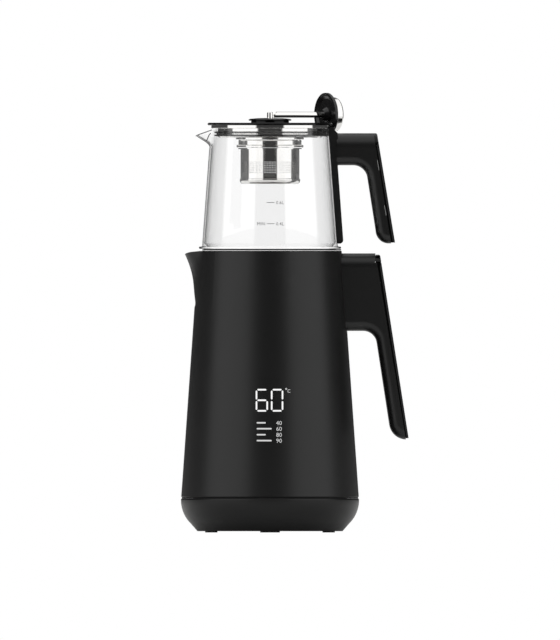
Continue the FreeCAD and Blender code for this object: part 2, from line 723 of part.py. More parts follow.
def make_pot_handle_cover():
    top = P_ARM_TOP_Z
    low = 265.3
    edges = line_chain([
        (pot_seam_x(top), top), (pot_outer_x(top) - 0.8, top), (pot_outer_x(top) + 0.2, top - 1.2),
        (pot_outer_x(low), low), (pot_seam_x(low), low), (pot_seam_x(top), top),
    ])
    strip = side_plate(edges, HANDLE_HALF_WIDTH)
    strip = round_edges(strip, lambda m, e: abs(m.y) > 12.9 and m.x > pot_outer_x(m.z) - 0.2, 2.4)
    return strip.common(arm_envelope(P_ARM_TOP_Z, 0.0))


def make_pot_handle_screws():
    screws = []
    for z in (358.0, 344.0):
        tail = 62.4
        head_x = pot_seam_x(z) - 12.0
        shank = Part.makeCylinder(1.7, head_x - tail, V(tail, 0, z), V(1, 0, 0))
        screws.append(shank)
    return Part.makeCompound(screws)


# Lid: top plate, steel band, plug with two soft lips and the middle collar
def make_lid_plate():
    return revolve([
        (16.0, LID_PLATE_Z), (LID_R - 0.8, LID_PLATE_Z), (LID_R, LID_PLATE_Z + 0.8),
        (LID_R, LID_TOP_Z - 1.0), (LID_R - 0.4, LID_TOP_Z - 0.3), (LID_R - 1.2, LID_TOP_Z), (16.0, LID_TOP_Z),
    ])


def make_lid_band():
    return revolve([
        (50.6, LID_BAND_Z), (LID_BAND_R - 0.4, LID_BAND_Z), (LID_BAND_R, LID_BAND_Z + 0.4),
        (LID_BAND_R, LID_PLATE_Z), (50.6, LID_PLATE_Z),
    ])


def make_lid_plug():
    return revolve([
        (9.0, 366.0), (26.0, 366.0), (29.3, 359.7), (31.0, 359.7), (31.0, PLUG_Z), (PLUG_R - 1.0, PLUG_Z),
        (PLUG_R, PLUG_Z + 1.0), (PLUG_R, LID_BAND_Z), (50.6, LID_BAND_Z), (50.6, LID_PLATE_Z),
        (44.0, LID_PLATE_Z), (44.0, 364.4), (33.0, 364.4), (28.0, 369.0), (12.0, 369.0), (12.0, LID_PLATE_Z),
        (9.0, LID_PLATE_Z),
    ])


def make_lid_gasket():
    return revolve([
        (PLUG_R, 362.4), (50.4, 362.8), (51.8, 363.6), (50.2, 363.9), (48.8, 364.2), (48.8, 365.4),
        (50.4, 365.8), (51.8, 366.6), (50.2, 366.9), (PLUG_R, 367.2),
    ])


def make_lid_collar():
    return revolve([
        (5.2, LID_TOP_Z), (COLLAR_STEP_R, LID_TOP_Z), (COLLAR_STEP_R, COLLAR_STEP_Z),
        (COLLAR_R - 0.6, COLLAR_STEP_Z), (COLLAR_R, COLLAR_STEP_Z + 0.6), (COLLAR_R - 0.2, 377.9),
        (COLLAR_R - 1.4, 378.5), (12.0, 379.1), (5.2, COLLAR_TOP_Z),
    ]).fuse(ring(12.2, 16.0, LID_PLATE_Z, LID_TOP_Z))


# Sleeve through the lid that guides the lift rod
def make_guide_bush():
    return revolve([
        (3.0, 362.0), (8.8, 362.0), (8.8, 372.6), (5.2, 372.6), (5.2, 379.0), (3.0, 379.0),
    ])


def turn_to_arm(shape):
    """Turn a shape made along +X to the direction of the arm."""
    shape.rotate(V(0, 0, 0), V(0, 0, 1), math.degrees(ARM_ANGLE))
    return shape


# Lift rod: runs through the lid and ends in a fork for the knob arm
def make_infuser_rod():
    rod = Part.makeCylinder(ROD_R, HINGE_Z + 2.4 - 356.0, V(0, 0, 356.0))
    rod = round_edges(rod, lambda m, e: m.z > HINGE_Z + 2.0, 0.8)
    slot = Part.makeBox(12.0, 2.4, 10.0, V(-6.0, -1.2, HINGE_Z - 2.9))
    pin_hole = Part.makeCylinder(0.8, 8.0, V(0, -4.0, HINGE_Z), V(0, 1, 0))
    return turn_to_arm(rod.cut(slot).cut(pin_hole))


def make_hinge_pin():
    pin = Part.makeCylinder(0.8, 5.0, V(0, -2.5, HINGE_Z), V(0, 1, 0))
    return turn_to_arm(pin)


def make_infuser_cover():
    cap = revolve([
        (0, 354.9), (0, 359.4), (COVER_R - 0.9, 359.4), (COVER_R - 0.2, 359.1), (COVER_R, 358.4),
        (COVER_R, 354.9), (COVER_FLANGE_R - 0.6, 354.7), (COVER_FLANGE_R, 354.1),
        (COVER_FLANGE_R, 352.7), (COVER_FLANGE_R - 0.6, 352.2), (BASKET_R + 0.5, 352.2),
        (BASKET_R + 0.5, 354.9),
    ])
    return cap.cut(Part.makeCylinder(ROD_R, 10.0, V(0, 0, 356.0)))


# Tea basket: drawn steel cup with a slightly wider bottom cap
def make_tea_basket():
    wall = BASKET_WALL
    outer = revolve([
        (0, BASKET_BOTTOM_Z), (BASKET_CUP_R - 3.4, BASKET_BOTTOM_Z),
        (BASKET_CUP_R - 1.0, BASKET_BOTTOM_Z + 1.0),
        (BASKET_CUP_R, BASKET_BOTTOM_Z + 3.0), (BASKET_CUP_R, BASKET_CUP_Z), (BASKET_R, BASKET_CUP_Z + 0.5),
        (BASKET_R, 350.8), (BASKET_CUP_R + 1.4, 350.8), (BASKET_CUP_R + 1.4, 351.9), (0, 351.9),
    ])
    inner = revolve([
        (0, BASKET_BOTTOM_Z + wall), (BASKET_R - 3.6, BASKET_BOTTOM_Z + wall),
        (BASKET_R - wall, BASKET_BOTTOM_Z + 3.6), (BASKET_R - wall, 352.5), (0, 352.5),
    ])
    return outer.cut(inner)


# Folding knob: arm with a flat tongue, stepped black disc and steel cap
def make_knob_rod():
    bar = Part.makeCylinder(ROD_R, KNOB_FACE - 4.2, V(4.2, 0, HINGE_Z), V(1, 0, 0))
    bevel = side_plate(line_chain([
        (3.0, HINGE_Z + 4.0), (8.2, HINGE_Z + 4.0), (3.0, HINGE_Z - 1.0), (3.0, HINGE_Z + 4.0),
    ]), 6.0)
    bar = bar.cut(bevel)
    tongue = Part.makeBox(7.5, 1.9, 4.4, V(0, -0.95, HINGE_Z - 2.2))
    eye = Part.makeCylinder(2.2, 1.9, V(0, -0.95, HINGE_Z), V(0, 1, 0))
    hole = Part.makeCylinder(0.85, 4.0, V(0, -2.0, HINGE_Z), V(0, 1, 0))
    return turn_to_arm(bar.fuse(tongue).fuse(eye).cut(hole).removeSplitter())


def turned_on_arm(points):
    """Solid turned about the arm from (distance along the arm, radius) points."""
    solid = revolve([(radius, along) for along, radius in points])
    solid.rotate(V(0, 0, 0), V(0, 1, 0), 90)
    solid.translate(V(0, 0, HINGE_Z))
    return turn_to_arm(solid)


def make_knob_disc():
    face = KNOB_FACE
    back = face + KNOB_DISC_THICK
    return turned_on_arm([
        (face - 2.8, ROD_R), (face - 2.8, 4.4), (face + 0.8, 7.0), (face + 2.0, 7.2), (face + 2.0, 14.8),
        (face + 0.6, 17.2), (face + 0.6, 18.2), (face, 18.6), (face, KNOB_DISC_R - 0.3),
        (face + 0.3, KNOB_DISC_R), (back - 0.7, KNOB_DISC_R), (back, KNOB_DISC_R - 0.8), (back, ROD_R),
    ])


def make_knob_cap():
    start = KNOB_FACE + KNOB_DISC_THICK
    end = start + KNOB_CAP_LONG
    return turned_on_arm([
        (start, 4.0), (start, KNOB_CAP_R), (end - 1.4, KNOB_CAP_R), (end - 0.4, KNOB_CAP_R - 0.4),
        (end, KNOB_CAP_R - 1.4), (end, 0.0), (end - 1.6, 0.0), (end - 1.6, 4.0),
    ])


def make_knob_screw():
    start = KNOB_FACE + KNOB_DISC_THICK
    return turned_on_arm([
        (start, 0.0), (start, 3.6), (start + 2.2, 3.6), (start + 2.2, 1.0), (start + 1.2, 1.0),
        (start + 1.2, 0.0),
    ])


def outside_of_kettle():
    """Filled outer form of the kettle, used to fit the handle to the wall."""
    return revolve([
        (0, KETTLE_BOTTOM_Z), (KETTLE_BOTTOM_R, KETTLE_BOTTOM_Z), (KETTLE_RIM_R, KETTLE_RIM_Z),
        (0, KETTLE_RIM_Z),
    ])


strap = make_pot_strap()
parts = {
    "base_shell": make_base_shell(),
    "base_bottom_cover": make_base_bottom_cover(),
    "base_feet": make_base_feet(),
    "base_screws": make_base_screws(),
    "base_connector": make_base_connector(),
    "base_contacts": make_base_contacts(),
    "base_cord_gland": make_base_cord_gland(),
    "kettle_coupler": make_kettle_coupler(),
    "kettle_shell": make_kettle_shell(),
    "inner_vessel": make_inner_vessel(),
    "vessel_seal": make_vessel_seal(),
    "kettle_bottom_cover": make_kettle_bottom_cover(),
    "kettle_cover_screws": make_kettle_cover_screws(),
    "heater_plate": make_heater_plate(),
    "heating_element": make_heating_element(),
    "temperature_sensor": make_temperature_sensor(),
    "control_board": make_control_board(),
    "board_relay": make_board_relay(),
    "display_module": make_display_module(),
    "kettle_handle": make_kettle_handle(outside_of_kettle()),
    "kettle_handle_cover": make_kettle_handle_cover(),
    "kettle_handle_screws": make_kettle_handle_screws(),
    "power_button": make_power_button(),
    "button_spring": make_button_spring(),
    "button_switch": make_button_switch(),
    "pot_glass": make_pot_glass(),
    "pot_foot_ring": make_pot_foot_ring(),
    "pot_strap": strap,
    "pot_handle": make_pot_handle(strap),
    "pot_handle_cover": make_pot_handle_cover(),
    "pot_handle_screws": make_pot_handle_screws(),
    "lid_plate": make_lid_plate(),
    "lid_band": make_lid_band(),
    "lid_plug": make_lid_plug(),
    "lid_gasket": make_lid_gasket(),
    "lid_collar": make_lid_collar(),
    "guide_bush": make_guide_bush(),
    "infuser_rod": make_infuser_rod(),
    "infuser_cover": make_infuser_cover(),
    "hinge_pin": make_hinge_pin(),
    "tea_basket": make_tea_basket(),
    "knob_rod": make_knob_rod(),
    "knob_disc": make_knob_disc(),
    "knob_cap": make_knob_cap(),
    "knob_screw": make_knob_screw(),
}

for name, shape in parts.items():
    shape.exportStep(os.path.join("parts", name + ".step"))
    print(name, shape.isValid(), len(shape.Solids), round(shape.Volume, 1))
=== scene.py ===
import math

import bmesh
import bpy
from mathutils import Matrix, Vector


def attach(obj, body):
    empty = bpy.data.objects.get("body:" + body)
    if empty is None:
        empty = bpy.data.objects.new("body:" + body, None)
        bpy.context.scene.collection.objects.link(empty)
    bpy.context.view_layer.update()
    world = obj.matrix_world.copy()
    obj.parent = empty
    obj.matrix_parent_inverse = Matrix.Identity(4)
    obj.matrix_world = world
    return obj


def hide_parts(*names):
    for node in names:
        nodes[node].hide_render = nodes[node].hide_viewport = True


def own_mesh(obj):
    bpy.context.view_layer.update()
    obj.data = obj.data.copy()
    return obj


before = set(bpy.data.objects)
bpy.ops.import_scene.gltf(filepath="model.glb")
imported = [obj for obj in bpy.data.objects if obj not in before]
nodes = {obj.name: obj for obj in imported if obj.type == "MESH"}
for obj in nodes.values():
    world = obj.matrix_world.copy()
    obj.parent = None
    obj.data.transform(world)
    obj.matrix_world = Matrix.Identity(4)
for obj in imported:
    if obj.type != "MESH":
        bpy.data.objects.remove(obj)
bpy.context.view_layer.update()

# Studio view
# The picture is taken level with the tea maker from far away, so the camera has no perspective.
# It is 560 by 640 pixels, and one of its pixels is 0.915 mm on the object.
PIXEL = 0.000915
PICTURE_WIDE = 560
PICTURE_HIGH = 640
AXIS_COLUMN = 270.0
FLOOR_ROW = 532.5
CAMERA_FAR = 2.0


def picture_x(column):
    """Place across the object, in metres, of a column of the picture."""
    return (column - AXIS_COLUMN) * PIXEL


def picture_z(row):
    """Height above the table, in metres, of a row of the picture."""
    return (FLOOR_ROW - row) * PIXEL


camera = bpy.data.cameras.new("studio_camera")
camera.type = "ORTHO"
camera.ortho_scale = PICTURE_HIGH * PIXEL
camera_object = bpy.data.objects.new("studio_camera", camera)
camera_object.location = (picture_x(PICTURE_WIDE / 2), -CAMERA_FAR, picture_z(PICTURE_HIGH / 2))
camera_object.rotation_euler = (math.radians(90), 0, 0)
bpy.context.scene.collection.objects.link(camera_object)
bpy.context.scene.camera = camera_object
# With the plain view transform a white backdrop stays pure white.
bpy.context.scene.view_settings.view_transform = "Standard"

# Studio light
# A white tent stands round the object, with a dark gap for the camera in front and a dark wall behind.
# Below the table top it is dark too. Steel, glass and gloss plastic show these as bands.
WHITE = "#ffffff"
GAP_GREY = "#363636"
WALL_GREY = "#404040"
ROOF_WHITE = "#f4f4f4"
# Edges are degrees away from the camera's side.
HALF_TURN = 180.0
GAP_EDGE = 27.5
WALL_EDGE = 92.0
EDGE_SOFT = 2.0
# Roof and underside go by how far a ray points up, and the backdrop by how far it points away.
ROOF_FROM = 0.55
ROOF_FULL = 0.8
UNDER_DARK = 0.03
UNDER_FULL = -0.30
UNDER_FROM = -0.16
TENT_STRENGTH = 1.22
BACKDROP_FROM = 0.72
BACKDROP_FULL = 0.88
# Socket numbers of the colour mixing node.
MIX_SHARE = 0
MIX_BELOW = 6
MIX_ABOVE = 7
MIX_RESULT = 2


def linear(hex_colour, alpha=1.0):
    """sRGB hex colour as linear numbers."""
    parts = [int(hex_colour[i:i + 2], 16) / 255 for i in (1, 3, 5)]
    return tuple(c / 12.92 if c <= 0.04045 else ((c + 0.055) / 1.055) ** 2.4 for c in parts) + (alpha,)


def add(tree, kind, settings, links):
    """Adds one shader node. Settings are its attributes or inputs, and links join inputs to sources."""
    made = tree.nodes.new("ShaderNode" + kind)
    for key, value in settings.items():
        if isinstance(key, str) and hasattr(made, key):
            setattr(made, key, value)
        else:
            made.inputs[key].default_value = value
    for key, source in links.items():
        tree.links.new(source, made.inputs[key])
    return made


world = bpy.data.worlds.new("studio_tent")
bpy.context.scene.world = world
world.use_nodes = True
sky = world.node_tree
sky.nodes.clear()

# The angle away from the camera's side, as a share of half a turn, picks gap, tent or wall.
direction = add(sky, "TexCoord", {}, {})
split = add(sky, "SeparateXYZ", {}, {0: direction.outputs["Generated"]})
toward = add(sky, "Math", {"operation": "MULTIPLY", 1: -1.0}, {0: split.outputs["Y"]})
turn = add(sky, "Math", {"operation": "ARCTAN2"}, {0: split.outputs["X"], 1: toward.outputs[0]})
size_of_turn = add(sky, "Math", {"operation": "ABSOLUTE"}, {0: turn.outputs[0]})
share = add(sky, "Math", {"operation": "DIVIDE", 1: math.pi}, {0: size_of_turn.outputs[0]})
bands = add(sky, "ValToRGB", {}, {"Fac": share.outputs[0]})
ramp = bands.color_ramp
ramp.elements[0].position = (GAP_EDGE - EDGE_SOFT) / HALF_TURN
ramp.elements[0].color = linear(GAP_GREY)
ramp.elements[1].position = (GAP_EDGE + EDGE_SOFT) / HALF_TURN
ramp.elements[1].color = linear(WHITE)
for angle, colour in ((WALL_EDGE - EDGE_SOFT, WHITE), (WALL_EDGE + EDGE_SOFT, WALL_GREY)):
    stop = ramp.elements.new(angle / HALF_TURN)
    stop.color = linear(colour)

# The roof is white all round, and below the table top the tent fades to dark.
lift = add(sky, "MapRange", {"From Min": ROOF_FROM, "From Max": ROOF_FULL}, {
    "Value": split.outputs["Z"],
})
roofed = add(sky, "Mix", {"data_type": "RGBA", MIX_ABOVE: linear(ROOF_WHITE)}, {
    MIX_SHARE: lift.outputs[0], MIX_BELOW: bands.outputs["Color"],
})
under = add(sky, "MapRange", {"From Min": UNDER_FULL, "From Max": UNDER_FROM, "To Min": UNDER_DARK}, {
    "Value": split.outputs["Z"],
})
shaded = add(sky, "Mix", {"data_type": "RGBA", "blend_type": "MULTIPLY", "Factor": 1.0}, {
    MIX_BELOW: roofed.outputs[MIX_RESULT], MIX_ABOVE: under.outputs[0],
})

# Mirrored and bent rays see the tent. All others see plain white, and so does a nearly straight look
# through the glass at the backdrop.
path = add(sky, "LightPath", {}, {})
plain = add(sky, "Background", {"Color": linear(WHITE), "Strength": 1.0}, {})
banded = add(sky, "Background", {"Strength": TENT_STRENGTH}, {"Color": shaded.outputs[MIX_RESULT]})
backdrop = add(sky, "MapRange", {"From Min": BACKDROP_FROM, "From Max": BACKDROP_FULL}, {
    "Value": split.outputs["Y"],
})
straight = add(sky, "Math", {"operation": "MULTIPLY"}, {
    0: backdrop.outputs[0], 1: path.outputs["Is Transmission Ray"],
})
mirrored = add(sky, "Math", {"operation": "MINIMUM", 1: 1.0}, {0: path.outputs["Glossy Depth"]})
bent = add(sky, "Math", {"operation": "SUBTRACT", "use_clamp": True}, {
    0: path.outputs["Is Transmission Ray"], 1: straight.outputs[0],
})
either = add(sky, "Math", {"operation": "MAXIMUM"}, {0: mirrored.outputs[0], 1: bent.outputs[0]})
sharp = add(sky, "Math", {"operation": "SUBTRACT", "use_clamp": True}, {
    0: either.outputs[0], 1: path.outputs["Is Diffuse Ray"],
})
choice = add(sky, "MixShader", {}, {0: sharp.outputs[0], 1: plain.outputs[0], 2: banded.outputs[0]})
add(sky, "OutputWorld", {}, {"Surface": choice.outputs[0]})

# Floor
# A plain pale table top, wider than the object so that it fills the higher views.
# It is board with matt white paint, and the tea maker only stands on it.
FLOOR_HALF = 1.5
SAME_PLACE = 0.000001
CREASE = math.radians(35)


def material(name):
    """New material with an empty node tree."""
    made = bpy.data.materials.new(name)
    made.use_nodes = True
    made.node_tree.nodes.clear()
    return made


def finish_with(made, shader):
    """Joins a shader to the material's output and returns the material."""
    add(made.node_tree, "OutputMaterial", {}, {"Surface": shader.outputs[0]})
    return made


def mesh_object(name, points, faces, smooth=True):
    """New object from points and faces, turned outwards and creased where faces meet sharply."""
    mesh = bpy.data.meshes.new(name)
    mesh.from_pydata(points, [], faces)
    shape = bmesh.new()
    shape.from_mesh(mesh)
    bmesh.ops.remove_doubles(shape, verts=shape.verts, dist=SAME_PLACE)
    bmesh.ops.recalc_face_normals(shape, faces=shape.faces)
    for face in shape.faces:
        face.smooth = smooth
    for edge in shape.edges:
        edge.smooth = edge.is_manifold and edge.calc_face_angle() < CREASE
    shape.to_mesh(mesh)
    shape.free()
    made = bpy.data.objects.new(name, mesh)
    bpy.context.scene.collection.objects.link(made)
    return made


floor = mesh_object("table_top", [
    (-FLOOR_HALF, -FLOOR_HALF, 0), (FLOOR_HALF, -FLOOR_HALF, 0),
    (FLOOR_HALF, FLOOR_HALF, 0), (-FLOOR_HALF, FLOOR_HALF, 0),
], [(0, 1, 2, 3)])
# Matt paint has no sheen at all, so the floor shows only soft shadow.
table_paint = material("matt_white_paint")
paint = add(table_paint.node_tree, "BsdfDiffuse", {"Color": linear("#f2f2f1")}, {})
floor.data.materials.append(finish_with(table_paint, paint))

# Power base
# The housing is injection moulded black ABS, screwed to a flat bottom cover.
# Rubber feet and a rubber cord bush are pressed into it, and brass contact rings sit in its connector.

# The eroded grain is drawn several times coarser than a real one, so that it shows.
GRAIN = 0.0004
GRAIN_DETAIL = 3.0
GRAIN_DEPTH_SHARE = 0.1
# The roughness drifts in patches about 36 mm wide.
PATCH = 0.0357
PATCH_DETAIL = 2.0
PATCH_SPREAD = 0.08


def even_finish(name, colour, roughness, grain=GRAIN, depth=0.05, ior=1.5):
    """Plastic, rubber or enamel: one colour, fine eroded grain, and a roughness that drifts a little."""
    made = material(name)
    tree = made.node_tree
    where = add(tree, "TexCoord", {}, {})
    speck = add(tree, "TexNoise", {"Scale": 1.0 / grain, "Detail": GRAIN_DETAIL}, {
        "Vector": where.outputs["Object"],
    })
    patch = add(tree, "TexNoise", {"Scale": 1.0 / PATCH, "Detail": PATCH_DETAIL}, {
        "Vector": where.outputs["Object"],
    })
    uneven = add(tree, "MapRange", {
        "To Min": roughness * (1 - PATCH_SPREAD), "To Max": roughness * (1 + PATCH_SPREAD),
    }, {"Value": patch.outputs[0]})
    bump = add(tree, "Bump", {"Strength": depth, "Distance": grain * GRAIN_DEPTH_SHARE}, {
        "Height": speck.outputs[0],
    })
    shader = add(tree, "BsdfPrincipled", {"Base Color": linear(colour), "IOR": ior}, {
        "Roughness": uneven.outputs[0], "Normal": bump.outputs[0],
    })
    return finish_with(made, shader)


def dress(names, finish):
    """Gives the named nodes one finish in every material slot."""
    for name in names:
        slots = nodes[name].material_slots
        for place in slots:
            place.material = finish
        if not slots:
            nodes[name].data.materials.append(finish)


# The eroded skin of the black ABS spreads the light of the tent into a soft, wide sheen.
satin_abs = even_finish("satin_black_abs", "#070707", roughness=0.33, ior=1.38)
# Plain moulded ABS of the hidden parts is a dull dark grey.
plain_abs = even_finish("plain_black_abs", "#242426", roughness=0.48)
# Rubber swallows nearly all light and shows no edge of a reflection.
black_rubber = even_finish("black_rubber", "#1c1c1c", roughness=0.7, depth=0.2)
dress(["base_shell"], satin_abs)
dress(["base_bottom_cover", "base_connector"], plain_abs)
dress(["base_feet", "base_cord_gland"], black_rubber)

# The grain of the plating is drawn coarser than a real one, so that it shows.
PLATING_GRAIN = 0.001
LINE_DETAIL = 4.0
LINE_SPREAD = 0.25


def metal(name, colour, roughness, grain, squeeze=(1.0, 1.0, 1.0)):
    """Bare metal: a bright colour with fine polishing or brushing lines in its roughness."""
    made = material(name)
    tree = made.node_tree
    where = add(tree, "TexCoord", {}, {})
    drawn = add(tree, "Mapping", {"Scale": squeeze}, {"Vector": where.outputs["Object"]})
    lines = add(tree, "TexNoise", {"Scale": 1.0 / grain, "Detail": LINE_DETAIL}, {
        "Vector": drawn.outputs[0],
    })
    uneven = add(tree, "MapRange", {
        "To Min": roughness * (1 - LINE_SPREAD), "To Max": roughness * (1 + LINE_SPREAD),
    }, {"Value": lines.outputs[0]})
    shader = add(tree, "BsdfPrincipled", {"Base Color": linear(colour), "Metallic": 1.0}, {
        "Roughness": uneven.outputs[0],
    })
    return finish_with(made, shader)


# Zinc plating is a pale grey metal with blurred highlights.
plated_steel = metal("zinc_plated_steel", "#b8b8b6", roughness=0.3, grain=PLATING_GRAIN)
# Bare brass is a warm yellow metal with a soft shine.
contact_brass = metal("contact_brass", "#d9b25c", roughness=0.25, grain=PLATING_GRAIN)
dress(["base_screws"], plated_steel)
dress(["base_contacts"], contact_brass)

# Kettle wall and underside
# The outer wall is one tapered ABS moulding, with a pouring beak drawn out of its rim.
# The drawn steel vessel hangs inside it by its rolled rim, over a seal of pale silicone.
# A black ring fills the narrow seam between the wall and the power base. Its black is painted seam
# shade.

# The kettle's ABS mirrors a little more than the base's, so its sheen is brighter.
kettle_abs = even_finish("satin_black_kettle_abs", "#0a0a0a", roughness=0.36, ior=1.45)
dress(["kettle_shell"], kettle_abs)
dress(["kettle_bottom_cover", "kettle_coupler"], plain_abs)
dress(["kettle_cover_screws"], plated_steel)

# The rolled rim starts at the first height with a painted white highlight line, and a flat black band
# starts at the second.
RIM_LOW_Z = 0.2575
RIM_BLACK_BAND_Z = 0.25835


def vessel_steel():
    """Brushed steel that blurs what it mirrors. Its rim is a painted white highlight line under a flat
    black band.
    """
    made = material("brushed_vessel_steel_with_painted_rim_highlight")
    tree = made.node_tree
    where = add(tree, "TexCoord", {}, {})
    spot = add(tree, "SeparateXYZ", {}, {0: where.outputs["Object"]})
    at_rim = add(tree, "Math", {"operation": "GREATER_THAN", 1: RIM_LOW_Z}, {0: spot.outputs["Z"]})
    at_black_band = add(tree, "Math", {"operation": "GREATER_THAN", 1: RIM_BLACK_BAND_Z}, {0: spot.outputs["Z"]})
    brushed = add(tree, "BsdfPrincipled", {
        "Base Color": linear("#f0efed"), "Metallic": 1.0, "Roughness": 0.22,
    }, {})
    # Painted highlight: flat near-white stands in for the light line on the rim.
    bright = add(tree, "BsdfDiffuse", {"Color": linear("#fbfbfb")}, {})
    # The band above it is flat black.
    black_band = add(tree, "BsdfDiffuse", {"Color": linear("#040404")}, {})
    rimmed = add(tree, "MixShader", {}, {
        0: at_rim.outputs[0], 1: brushed.outputs[0], 2: bright.outputs[0],
    })
    black_banded = add(tree, "MixShader", {}, {
        0: at_black_band.outputs[0], 1: rimmed.outputs[0], 2: black_band.outputs[0],
    })
    return finish_with(made, black_banded)


dress(["inner_vessel"], vessel_steel())
# Silicone of the seal is milky white and slightly dull.
pale_silicone = even_finish("pale_silicone", "#d8d6d0", roughness=0.5, depth=0.02)
dress(["vessel_seal"], pale_silicone)

EDGE_RING_R = 0.0808
EDGE_RING_INNER_R = 0.0784
EDGE_RING_LOW_Z = 0.03145
EDGE_RING_TOP_Z = 0.0321
EDGE_RING_PARTS = 128


def turned(points, faces, outline, parts):
    """Adds a surface turned about the axis through (radius, height) points."""
    first = len(points)
    for radius, z in outline:
        for i in range(parts):
            angle = 2 * math.pi * i / parts
            points.append((radius * math.cos(angle), radius * math.sin(angle), z))
    for row in range(len(outline) - 1):
        for i in range(parts):
            low = first + row * parts
            after = (i + 1) % parts
            faces.append((low + i, low + after, low + parts + after, low + parts + i))


points, faces = [], []
turned(points, faces, [
    (EDGE_RING_INNER_R, EDGE_RING_LOW_Z), (EDGE_RING_R, EDGE_RING_LOW_Z),
    (EDGE_RING_R, EDGE_RING_TOP_Z), (EDGE_RING_INNER_R, EDGE_RING_TOP_Z),
    (EDGE_RING_INNER_R, EDGE_RING_LOW_Z),
], EDGE_RING_PARTS)
edge_ring = mesh_object("kettle_edge_ring", points, faces)
# Painted shade: the ring is near-black and dull, so the seam reads as one black line.
painted_seam_shade_black = even_finish("painted_seam_shade_ring", "#040404", roughness=0.6, depth=0.0, ior=1.3)
edge_ring.data.materials.append(painted_seam_shade_black)
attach(edge_ring, "kettle")

# Works inside the kettle
# The cast aluminium plate and its tube heater are brazed under the vessel, beside a steel probe.
# The boards are glass fibre laminate, and a coil of plated wire lifts the push button.
CASTING_GRAIN = 0.001
LAMINATE_WEAVE = 0.0008
BRUSHING = 0.0004
# The brushing runs round the piece, so its pattern is squeezed from top to bottom.
BRUSHED_ROUND = (1.0, 1.0, 12.0)

# Cast aluminium is a pale grey metal that hardly mirrors.
cast_aluminium = metal("cast_aluminium", "#c8c8c8", roughness=0.45, grain=CASTING_GRAIN)
# Brushed steel shows a soft streak of light. Its lines are coarser than real ones, so that they show.
brushed_steel = metal(
    "brushed_stainless_steel", "#d2d0cc", roughness=0.28, grain=BRUSHING, squeeze=BRUSHED_ROUND,
)
# Board laminate is a dark green with a faint sheen.
green_laminate = even_finish("glass_fibre_laminate", "#1f5a35", roughness=0.35, grain=LAMINATE_WEAVE)
dress(["heater_plate", "heating_element"], cast_aluminium)
dress(["temperature_sensor"], brushed_steel)
dress(["control_board", "display_module"], green_laminate)
dress(["board_relay", "button_switch"], plain_abs)

SPRING_CENTRE_X = 0.0906
SPRING_LOW_Z = 0.2416
SPRING_R = 0.0019
SPRING_WIRE_R = 0.0003
SPRING_PITCH = 0.0016
SPRING_TURNS = 4
SPRING_STEPS = 24
WIRE_SIDES = 8
points, faces = [], []
for i in range(SPRING_TURNS * SPRING_STEPS + 1):
    wound = 2 * math.pi * i / SPRING_STEPS
    middle_z = SPRING_LOW_Z + SPRING_PITCH * i / SPRING_STEPS
    for k in range(WIRE_SIDES):
        around = 2 * math.pi * k / WIRE_SIDES
        radius = SPRING_R + SPRING_WIRE_R * math.cos(around)
        points.append((
            SPRING_CENTRE_X + radius * math.cos(wound), radius * math.sin(wound),
            middle_z + SPRING_WIRE_R * math.sin(around),
        ))
for i in range(SPRING_TURNS * SPRING_STEPS):
    for k in range(WIRE_SIDES):
        beside = (k + 1) % WIRE_SIDES
        low, high = i * WIRE_SIDES, (i + 1) * WIRE_SIDES
        faces.append((low + k, low + beside, high + beside, high + k))
last = SPRING_TURNS * SPRING_STEPS * WIRE_SIDES
faces += [tuple(range(WIRE_SIDES)), tuple(range(last, last + WIRE_SIDES))]
coil = mesh_object("button_coil", points, faces)
coil.data.materials.append(plated_steel)
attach(coil, "kettle")
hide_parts("button_spring")
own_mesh(coil)

# Kettle handle
# The grip is a satin ABS moulding screwed to the wall, its back closed by a snapped-on gloss strip.
# The push button is cut from the top of that strip and moves straight down.

# Satin ABS of the handles shows one soft light streak along each rounded edge.
handle_abs = even_finish("satin_black_handle_abs", "#0c0c0c", roughness=0.34, ior=1.45)
# Gloss ABS from a polished mould is deep black, with sharp but weak reflections.
gloss_abs = even_finish("gloss_black_abs", "#040404", roughness=0.06, depth=0.0, ior=1.3)
dress(["kettle_handle"], handle_abs)
dress(["kettle_handle_cover", "power_button"], gloss_abs)
dress(["kettle_handle_screws"], plated_steel)

# Display
# White light-emitting segments shine through the kettle wall: two big figures, a degree ring with its
# letter, and four rows with a plain bar and a temperature in small figures.
# All of them are flat shapes laid on the curve of the wall, a hair in front of it.
WALL_LOW_R = 0.0812
WALL_LOW_Z = 0.0332
WALL_TOP_R = 0.0656
WALL_TOP_Z = 0.2576
PRINT_PROUD = 0.00008
BAR_STEP = 0.0008
BAR_END_STEPS = 6
# A capital letter's height as a share of the size of its type.
LETTER_HIGH = 0.73
LETTER_CURVE_STEPS = 2


def wall_point(x, z):
    """Point on the front of the kettle wall, a hair in front of it."""
    share_up = (z - WALL_LOW_Z) / (WALL_TOP_Z - WALL_LOW_Z)
    radius = WALL_LOW_R + share_up * (WALL_TOP_R - WALL_LOW_R) + PRINT_PROUD
    return (x, -math.sqrt(radius * radius - x * x), z)


def bar(start, end, thick):
    """Round-ended bar between two points in x and z, cut into short pieces that follow a curved wall."""
    start, end = Vector(start), Vector(end)
    along = (end - start).normalized()
    side = Vector((-along.y, along.x)) * thick / 2
    steps = max(1, round((end - start).length / BAR_STEP))
    stations = [start.lerp(end, i / steps) for i in range(steps + 1)]
    pieces = [[a + side, a - side, b - side, b + side] for a, b in zip(stations, stations[1:])]
    for centre, outward in ((start, -1), (end, 1)):
        half_round = []
        for i in range(BAR_END_STEPS + 1):
            angle = (i / BAR_END_STEPS - 0.5) * math.pi
            forward = along * outward * thick / 2 * math.cos(angle)
            half_round.append(centre + forward + side * math.sin(angle))
        pieces.append(half_round)
    return pieces


